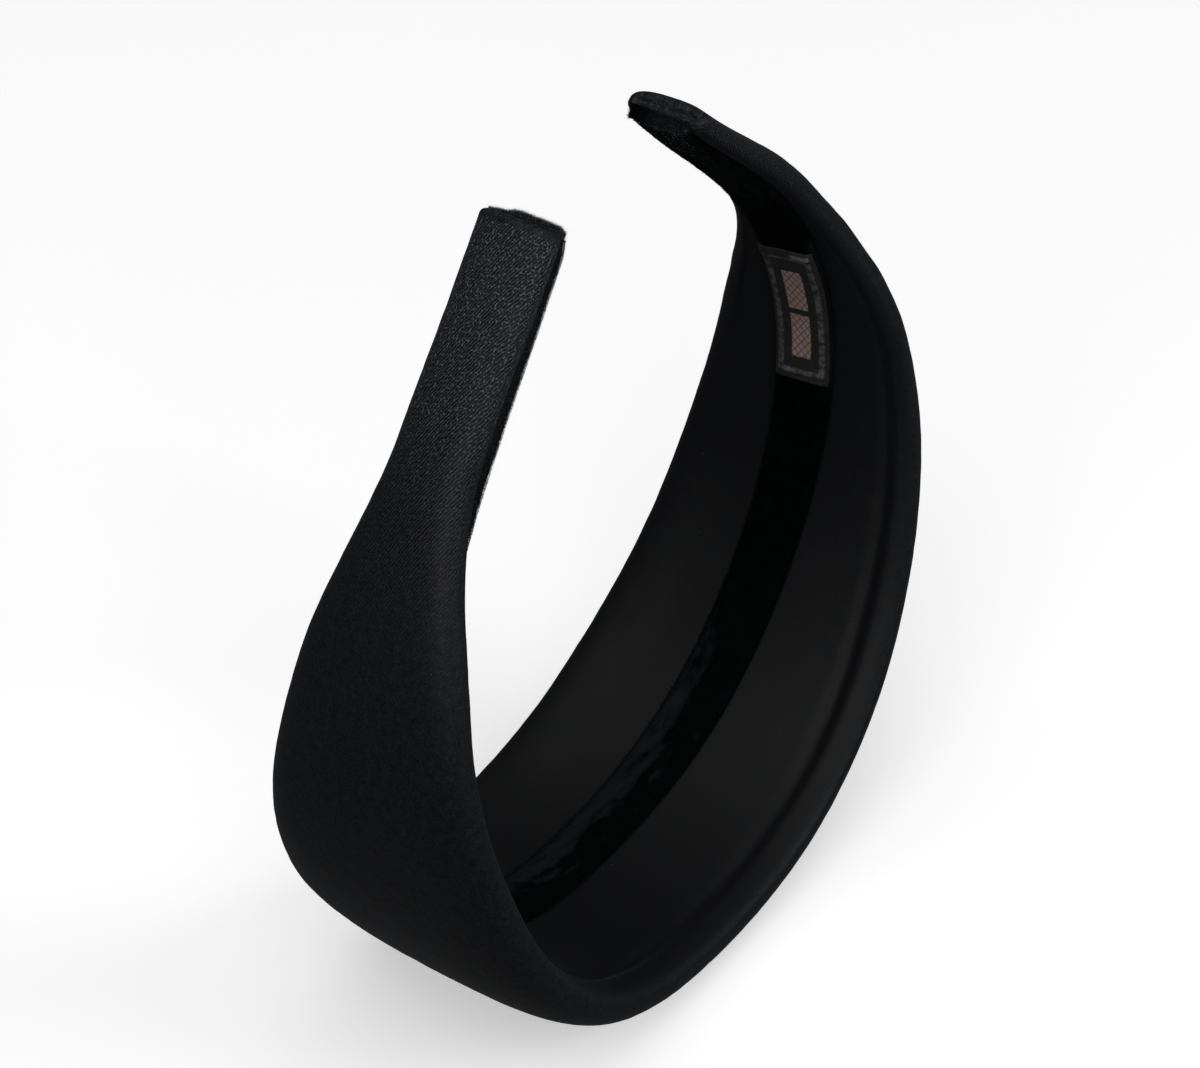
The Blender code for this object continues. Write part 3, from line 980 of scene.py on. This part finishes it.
def makeLabel():
    middle = band["halfLength"] - label["fromTip"] - label["length"] / 2
    nAlong, nAcross = label["stepsAlong"], label["stepsAcross"]
    a = np.linspace(-0.5, 0.5, nAlong + 1)[:, None] * label["length"] + np.zeros((1, nAcross + 1))
    w = np.linspace(-0.5, 0.5, nAcross + 1)[None] * label["width"] + np.zeros((nAlong + 1, 1))
    border, rose, tackHighlight = labelPattern(a, w)
    inEdge = np.minimum(label["length"] / 2 - np.abs(a), label["width"] / 2 - np.abs(w))
    rounded = np.sqrt(np.clip(1 - (1 - np.clip(inEdge / label["edgeRadius"], 0, 1)) ** 2, 0, 1))
    velvetTop = ribbon["clear"] + ribbon["thickness"] + ribbon["napLumps"]
    low = velvetTop + label["clear"]
    # the weave lies a little wavy, and lifts where its ends are turned under
    wave = label["wave"] * np.sin(a / (3.1 * mm)) * np.sin(w / (2.0 * mm) + 0.8)
    hem = label["hem"] * ease(2.6 * mm, 1.9 * mm, label["length"] / 2 - np.abs(a)) * rounded
    low = low - label["drape"] * ease(3.6 * mm, 4.9 * mm, np.abs(w))
    rim = label["rimThickness"]
    upper = low + rim + wave + (label["thickness"] - rim) * rounded + hem
    stitched = tackHighlight * (1.6 + 0.6 * np.cos(2 * math.pi * w / label["stitchPitch"]))
    upper = upper + label["relief"] * (border + rose + stitched) * rounded
    lower = low + rim / 2 * (1 - rounded) + wave
    at = middle + a
    centre = ribbon["width"] * ribbonShift(at / ribbonReach)
    topPoints = stripPlace(at, centre + w, upper)
    lowPoints = stripPlace(at, centre + w, lower)
    rows, columns = a.shape
    points = np.concatenate([topPoints.reshape(-1, 3), lowPoints.reshape(-1, 3)])
    under = rows * columns
    faces = []
    for i in range(rows - 1):
        for j in range(columns - 1):
            one = i * columns + j
            faces.append((one, one + 1, one + columns + 1, one + columns))
            faces.append((under + one, under + one + columns, under + one + columns + 1, under + one + 1))
    hoop = list(range(columns))  # the points once round the label's outline
    hoop += [i * columns + columns - 1 for i in range(1, rows)]
    hoop += [(rows - 1) * columns + j for j in range(columns - 2, -1, -1)]
    hoop += [i * columns for i in range(rows - 2, 0, -1)]
    for first, second in zip(hoop, hoop[1:] + hoop[:1]):
        faces.append((first, under + first, under + second, second))
    flatMap = np.stack([a, w], -1).reshape(-1, 2)
    cloth = [flatMap[corner % under] for face in faces for corner in face]
    patterns = {"border": border, "block": rose, "tackHighlight": tackHighlight}
    values = {key: np.tile(one.ravel(), 2) for key, one in patterns.items()}
    return addPiece("wovenLabel", points, faces, makeWeave(), cloth, values)


wovenLabel = makeLabel()
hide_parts("woven_label")
print("label:", len(wovenLabel.data.polygons), "faces")


# floor, light and camera

def makeFloor():
    finish = Finish("paleFloor")
    place = finish.place()
    tint = finish.grain(place, 0.4, 2.0)
    colour = finish.blend(tint, (0.86, 0.86, 0.86), (0.90, 0.90, 0.90))
    shader = finish.add(
        "ShaderNodeBsdfPrincipled",
        {},
        {
            "Base Color": colour,
            "Roughness": 0.9,
            "Specular IOR Level": 0.1,
            "Emission Color": (1, 1, 1, 1),
            "Emission Strength": 0.42,  # lit from below, as a light table, so that shadows stay pale
        },
    )
    reach = 4.0
    mesh = bpy.data.meshes.new("floor")
    corners = [(-reach, -reach, 0), (reach, -reach, 0), (reach, reach, 0), (-reach, reach, 0)]
    mesh.from_pydata(corners, [], [(0, 1, 2, 3)])
    mesh.materials.append(finish.close(shader))
    floor = bpy.data.objects.new("floor", mesh)
    bpy.context.scene.collection.objects.link(floor)
    floor.visible_glossy = False  # keeps the black satin's underside dark
    floor.visible_diffuse = False


def addSoftbox(name, place, aim, size, power):
    lamp = bpy.data.lights.new(name, "AREA")
    lamp.shape = "RECTANGLE"
    lamp.size, lamp.size_y = size
    lamp.energy = power
    box = bpy.data.objects.new(name, lamp)
    box.location = place
    box.rotation_mode = "QUATERNION"
    box.rotation_quaternion = (Vector(place) - Vector(aim)).to_track_quat("Z", "Y")
    bpy.context.scene.collection.objects.link(box)


light = {
    "aim": (0, 0, 70 * mm),
    "overhead": {"place": (-0.2, 0.1, 1.5), "size": (1.6, 1.6), "power": 8},
    "left": {"place": (-1.25, -0.55, 1.15), "size": (1.5, 1.5), "power": 13.5},
    "fill": {"place": (0.5, -1.5, 0.9), "size": (0.9, 0.9), "power": 9.5},
    "room": 0.09,
}


def makeLight():
    for name in ("overhead", "left", "fill"):
        box = light[name]
        addSoftbox(name, box["place"], light["aim"], box["size"], box["power"])
    world = bpy.data.worlds.new("room")
    world.use_nodes = True
    sky = world.node_tree.nodes["Background"]
    sky.inputs["Color"].default_value = (1, 1, 1, 1)
    sky.inputs["Strength"].default_value = light["room"]
    bpy.context.scene.world = world
    bpy.context.scene.view_settings.view_transform = "Standard"


camera = {
    "azimuth": 58.76,  # degrees that the view is turned from +Y towards +X
    "elevation": 36.02,
    "roll": 3.0,
    "distance": 757 * mm,
    "aim": (0, 0, 73 * mm),
    "slide": (0.99 * mm, -3.47 * mm),  # how far the frame's middle lies off the aim, right and up
    "lens": 140.9,
    "sensor": 36.0,
}


def makeCamera():
    azimuth, elevation, roll = [math.radians(camera[key]) for key in ("azimuth", "elevation", "roll")]
    forward = Vector(
        (
            math.sin(azimuth) * math.cos(elevation),
            math.cos(azimuth) * math.cos(elevation),
            -math.sin(elevation),
        )
    )
    level = Vector((math.cos(azimuth), -math.sin(azimuth), 0))
    upright = level.cross(forward)
    right = math.cos(roll) * level + math.sin(roll) * upright
    up = math.cos(roll) * upright - math.sin(roll) * level
    spot = Vector(camera["aim"]) - forward * camera["distance"]
    spot = spot - right * camera["slide"][0] - up * camera["slide"][1]
    lens = bpy.data.cameras.new("camera")
    lens.lens = camera["lens"]
    lens.sensor_width = camera["sensor"]
    lens.clip_start = 0.01
    lens.clip_end = 20
    eye = bpy.data.objects.new("camera", lens)
    turn = Matrix((right, up, -forward)).transposed()
    eye.matrix_world = Matrix.Translation(spot) @ turn.to_4x4()
    bpy.context.scene.collection.objects.link(eye)
    bpy.context.scene.camera = eye


makeFloor()
makeLight()
makeCamera()
print("floor, light and camera set")
